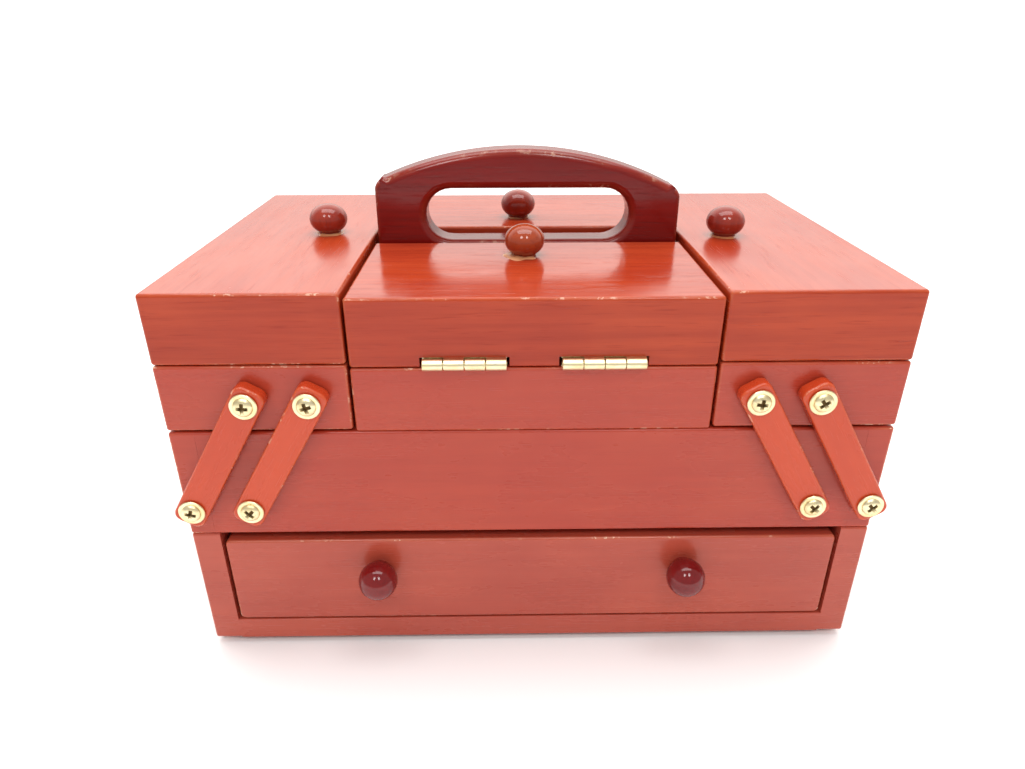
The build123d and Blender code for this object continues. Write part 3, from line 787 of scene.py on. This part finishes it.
def makeArms(side, which):
    node = f"{side}_{which}_arms"
    low, high, middle, size = measured(node)
    sign = 1 if side == "right" else -1
    thickness = armLook["thickness"]
    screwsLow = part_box("lower_pivot_screws")
    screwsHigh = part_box(f"{side}_pivot_screws")
    bottom, top = (screwsLow[0].z + screwsLow[1].z) / 2, (screwsHigh[0].z + screwsHigh[1].z) / 2
    lean = Vector((-sign * armLook["run"], 0, top - bottom))
    reach = lean.length / 2 + armLook["overhang"]
    half = armLook["width"] / 2
    shapes = []
    for y in (low.y, high.y - thickness):
        outline = [(-half, -reach), (half, -reach), (half, reach), (-half, reach)]
        bm = slabFrom(outline, thickness, armLook["corner"], armLook["segments"])
        bevelEdges(bm, rimOf(bm), armLook["ease"], armLook["segments"])
        tilt = Matrix.Rotation(-sign * lean.angle(Vector((0, 0, 1))), 4, "Y")
        shapes.append(placed(bm, Matrix.Translation((middle.x, y, middle.z)) @ tilt))
    addPiece(mergedInto(shapes), camel(node, "Pair"), f"{side}Arm", node, measure=slabEdges)


for side in ("left", "right"):
    for which in ("outer", "inner"):
        makeArms(side, which)


# pivot screws
screwLook = {"rim": 5.15 * mm, "rimHeight": 0.8 * mm, "rimEase": 0.25 * mm, "dome": 3.75 * mm,
             "height": 2.3 * mm, "shank": 1.9 * mm, "length": 13.7 * mm, "recessLength": 6.4 * mm,
             "recessWidth": 1.4 * mm, "recessDepth": 1.5 * mm, "recessTaper": 0.35, "segments": 48,
             "domeSteps": 8, "shankSegments": 24, "pivotSpacing": 23.0 * mm}


def screwHead():
    rim, height, dome = screwLook["rim"], screwLook["rimHeight"], screwLook["dome"]
    tall, soft, steps = screwLook["height"], screwLook["rimEase"], screwLook["domeSteps"]
    profile = [(0, 0), (rim - soft, 0), (rim, soft), (rim, height - soft), (rim - soft, height)]
    profile.append((dome + soft, height))
    for step in range(steps + 1):
        turn = step / steps * pi / 2
        profile.append((dome * cos(turn) ** 0.8, height + (tall - height) * sin(turn)))
    bm = turned(profile, screwLook["segments"])
    cutters = []
    half, wide = screwLook["recessLength"] / 2, screwLook["recessWidth"] / 2
    deep = screwLook["recessDepth"]
    for turn in (0, pi / 2):
        bar = startBlock((-half, -wide, tall - deep), (half, wide, tall + mm))
        for vertex in bar.verts:
            if vertex.co.z < tall:
                vertex.co.x *= screwLook["recessTaper"]
        cutters.append(placed(bar, Matrix.Rotation(turn, 4, "Z")))
    for cutter in cutters:
        bm = cutWith(bm, cutter)
    # marks the recess, where painted shade darkens the screw heads
    layer = bm.verts.layers.float.new("recess")
    for vertex in bm.verts:
        across = sqrt(vertex.co.x ** 2 + vertex.co.y ** 2)
        surface = height + (tall - height) * sqrt(max(0.0, 1 - (across / dome) ** 2))
        if across < half + 0.1 * mm and vertex.co.z < surface - 0.4 * mm and vertex.co.z > 0.1 * mm:
            vertex[layer] = 1.0
    bm.verts.layers.float.new("edge")  # stays 0, so that no rounded edge is marked on a head
    return bm


def makeScrews(node, spots, seed):
    low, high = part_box(node)
    middleZ = (low.z + high.z) / 2
    rng = random.Random(seed)
    shapes = []
    length, thin = screwLook["length"], screwLook["shank"]
    for facing, y in ((-1, low.y), (1, high.y)):
        for x in spots:
            head = screwHead()
            spun = Matrix.Rotation(rng.uniform(0, 2 * pi), 4, "Z")
            out = Matrix.Rotation(radians(90 * -facing), 4, "X")
            seat = y - facing * screwLook["height"]
            shank = turned([(0, -length), (thin, -length), (thin, 0), (0, 0)], screwLook["shankSegments"])
            addTo(head, shank)
            shapes.append(placed(head, Matrix.Translation((x, seat, middleZ)) @ out @ spun))
    addPiece(mergedInto(shapes), camel(node, "Heads"), "brass", node, measure=noEdges)


def pivotPlaces(side):
    low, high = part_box(f"{side}_pivot_screws")
    return [low.x + screwLook["rim"], high.x - screwLook["rim"]]


for seed, side in enumerate(("left", "right")):
    makeScrews(f"{side}_pivot_screws", pivotPlaces(side), seed + 3)
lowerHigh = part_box("lower_pivot_screws")[1]
outerX = lowerHigh.x - screwLook["rim"]
innerX = outerX - screwLook["pivotSpacing"]
makeScrews("lower_pivot_screws", [-outerX, -innerX, innerX, outerX], 9)
print("arms and screws made")


# hinges
hingeLook = {"length": 31.0 * mm, "knuckles": 4, "radius": 2.2 * mm, "gap": 0.25 * mm,
             "standoff": 1.6 * mm, "leaf": 0.9 * mm, "leafWidth": 7.4 * mm, "leafEase": 0.15 * mm,
             "barrelEase": 0.25 * mm, "pin": 1.0 * mm, "segments": 32, "pinSegments": 24}
outwardOf = {"front": Vector((0, -1, 0)), "back": Vector((0, 1, 0)),
             "left": Vector((-1, 0, 0)), "right": Vector((1, 0, 0))}


def hingeShapes(name, turning):
    pitch = hingeLook["length"] / hingeLook["knuckles"]
    radius, leaf = hingeLook["radius"], hingeLook["leaf"]
    low = 2 * radius - leaf if turning else 0.0
    edge = hingeLook["standoff"] - radius - hingeLook["gap"]
    depth = pitch - hingeLook["gap"]
    shapes = []
    plate = startBlock((-hingeLook["leafWidth"], 0, low), (edge, hingeLook["length"], low + leaf))
    bevelEdges(plate, plate.edges[:], hingeLook["leafEase"], 2)
    shapes.append(plate)
    for knuckle in range(turning, hingeLook["knuckles"], 2):
        start = knuckle * pitch + hingeLook["gap"] / 2
        barrel = bmesh.new()
        bmesh.ops.create_cone(barrel, cap_ends=True, segments=hingeLook["segments"], radius1=radius,
                              radius2=radius, depth=depth)
        caps = {e for face in barrel.faces if abs(face.normal.z) > 0.9 for e in face.edges}
        bevelEdges(barrel, list(caps), hingeLook["barrelEase"], 3)
        along = Matrix.Translation((hingeLook["standoff"], start + depth / 2, radius))
        shapes.append(placed(barrel, along @ Matrix.Rotation(radians(90), 4, "X")))
        shapes.append(startBlock((edge, start, low), (hingeLook["standoff"], start + depth, low + leaf)))
    return shapes


def pinShape():
    pin = bmesh.new()
    radius = hingeLook["pin"]
    bmesh.ops.create_cone(pin, cap_ends=True, segments=hingeLook["pinSegments"], radius1=radius,
                          radius2=radius, depth=hingeLook["length"])
    place = Matrix.Translation((hingeLook["standoff"], hingeLook["length"] / 2, hingeLook["radius"]))
    return placed(pin, place @ Matrix.Rotation(radians(90), 4, "X"))


def hingeSeat(name, hand):  # local X points out of the wall, Y along it and Z up
    out = outwardOf[name]
    along = Vector((0, 0, 1)).cross(out)
    centreWalls = {"front": "centre_front_wall", "back": "centre_back_wall"}
    wallNode = centreWalls.get(name, f"{name}_tray_outer_wall")
    low, high, middle, size = measured(wallNode)
    face = Vector((middle.x, middle.y, high.z))
    axis = 0 if abs(out.x) > 0.5 else 1
    face[axis] = (high if out[axis] > 0 else low)[axis]
    lidMiddle = measured(f"{name}_lid_top")[2]
    face[1 - axis] = lidMiddle[1 - axis]
    place = face + along * (hand * hingePlaces[name] - hingeLook["length"] / 2)
    turn = Matrix((out, along, Vector((0, 0, 1)))).transposed().to_4x4()
    return Matrix.Translation(place) @ turn


def makeHinges():
    for name in lidPlace:
        for turning, node in ((0, f"{name}_hinge_leaves"), (1, f"{name}_lid_hinge_leaves")):
            shapes = []
            for hand in (-1, 1):
                shapes += [placed(shape, hingeSeat(name, hand)) for shape in hingeShapes(name, turning)]
            addPiece(mergedInto(shapes), camel(node, "Brass"), "brass", node)
    for node, names in (("centre_hinge_pins", ("front", "back")), ("left_hinge_pins", ("left",)),
                        ("right_hinge_pins", ("right",))):
        shapes = [placed(pinShape(), hingeSeat(name, hand)) for name in names for hand in (-1, 1)]
        addPiece(mergedInto(shapes), camel(node, "Brass"), "brass", node)


makeHinges()
print("hinges made")


# drawer
drawerLook = {"corner": 2.4 * mm, "ease": 1.3 * mm, "segments": 5}


def makeDrawer():
    low, high, middle, size = measured("drawer_front")
    half, tall = size.x / 2, size.z / 2
    outline = [(-half, -tall), (half, -tall), (half, tall), (-half, tall)]
    bm = slabFrom(outline, size.y, drawerLook["corner"])
    bmesh.ops.translate(bm, vec=(middle.x, low.y, middle.z), verts=bm.verts)
    frontRim = rimOf(bm, lambda edge: edge.verts[0].co.y < middle.y)
    bevelEdges(bm, frontRim, drawerLook["ease"], drawerLook["segments"])
    # the drawer front carries the painted floor sheen
    addPiece(bm, "drawerFrontBoard", "lowPaintedSheenAcross", "drawer_front")


makeDrawer()
print("drawer made")


# what stays from the frame
carried = {
    "insideAcross": ["centre_floor", "middle_floor", "drawer_back"],
    "insideDeep": ["centre_side_walls", "left_tray_floor", "right_tray_floor", "drawer_bottom",
                   "drawer_sides"],
}
for finish, members in carried.items():
    for node in members:
        nodes[node].data.materials.clear()
        nodes[node].data.materials.append(finishes[finish])


# studio
studioLook = {"floorSize": 2.0, "lens": 25.23, "sensor": 36.0, "place": (-0.0114, -0.3243, 0.2441),
              "turn": (64.049, 0.07, -0.837), "frontSky": 0.54, "horizonSky": 0.8, "backSky": 2.25,
              "frontTint": (1.0, 0.98, 0.97, 1), "backTint": (0.96, 0.94, 0.89, 1),
              "seenSky": (2.0, 2.0, 2.0, 1), "aim": (0, 0, 0.1)}
# each light's place, power, width and depth
lights = {"windowLeft": ((-0.5, -1.2, 1.5), 6, 0.35, 0.5), "windowRight": ((0.35, -1.2, 1.5), 6, 0.3, 0.5),
          "overhead": ((0.0, 0.05, 2.1), 28, 2.0, 1.0)}


def makeFloor():
    material, tree, surface = startMaterial("paperFloor")
    place = addNode(tree, "ShaderNodeTexCoord").outputs["Object"]
    mottle = stretchedNoise(tree, place, 0.0, (3, 3, 3), 3.0, 0.5, 0.0)
    colour = blendColour(tree, mottle, (0.93, 0.925, 0.92, 1), (0.96, 0.955, 0.95, 1))
    tree.links.new(colour, surface.inputs["Base Color"])
    surface.inputs["Roughness"].default_value = 0.9
    surface.inputs["Specular IOR Level"].default_value = 0.1
    bm = bmesh.new()
    bmesh.ops.create_grid(bm, x_segments=8, y_segments=8, size=studioLook["floorSize"] / 2)
    mesh = bpy.data.meshes.new("paperFloor")
    bm.to_mesh(mesh)
    bm.free()
    mesh.materials.append(material)
    floor = bpy.data.objects.new("paperFloor", mesh)
    scene.collection.objects.link(floor)


def makeLight(name, place, power, width, depth):
    light = bpy.data.lights.new(name, "AREA")
    light.energy = power
    light.shape = "RECTANGLE"
    light.size, light.size_y = width, depth
    lamp = bpy.data.objects.new(name, light)
    lamp.location = place
    toward = Vector(studioLook["aim"]) - Vector(place)
    lamp.rotation_euler = toward.to_track_quat("-Z", "Y").to_euler()
    scene.collection.objects.link(lamp)


def makeStudio():
    makeFloor()
    world = bpy.data.worlds.new("softWhite")
    world.use_nodes = True
    background = world.node_tree.nodes["Background"]
    sky = world.node_tree
    direction = addNode(sky, "ShaderNodeTexCoord").outputs["Generated"]
    parts = addNode(sky, "ShaderNodeSeparateXYZ", {"Vector": direction}).outputs
    behind = remap(sky, parts["Y"], -0.1, 0.7, 0.0, 1.0)
    climb = remap(sky, parts["Z"], 0.08, 0.36, studioLook["horizonSky"], studioLook["backSky"])
    glow = addMath(sky, "MULTIPLY", behind, addMath(sky, "SUBTRACT", climb, studioLook["frontSky"]))
    sky.links.new(addMath(sky, "ADD", glow, studioLook["frontSky"]), background.inputs["Strength"])
    tint = blendColour(sky, behind, studioLook["frontTint"], studioLook["backTint"])
    seen = addNode(sky, "ShaderNodeLightPath").outputs["Is Camera Ray"]
    sky.links.new(blendColour(sky, seen, tint, studioLook["seenSky"]), background.inputs["Color"])
    scene.world = world
    for name, look in lights.items():
        makeLight(name, *look)

    camera = bpy.data.cameras.new("camera")
    camera.lens, camera.sensor_width = studioLook["lens"], studioLook["sensor"]
    camera.sensor_fit = "HORIZONTAL"
    camera.clip_start = 0.01
    view = bpy.data.objects.new("camera", camera)
    view.location = studioLook["place"]
    view.rotation_euler = [radians(angle) for angle in studioLook["turn"]]
    scene.collection.objects.link(view)
    scene.camera = view
    scene.view_settings.view_transform = "Standard"


makeStudio()
print("studio made")
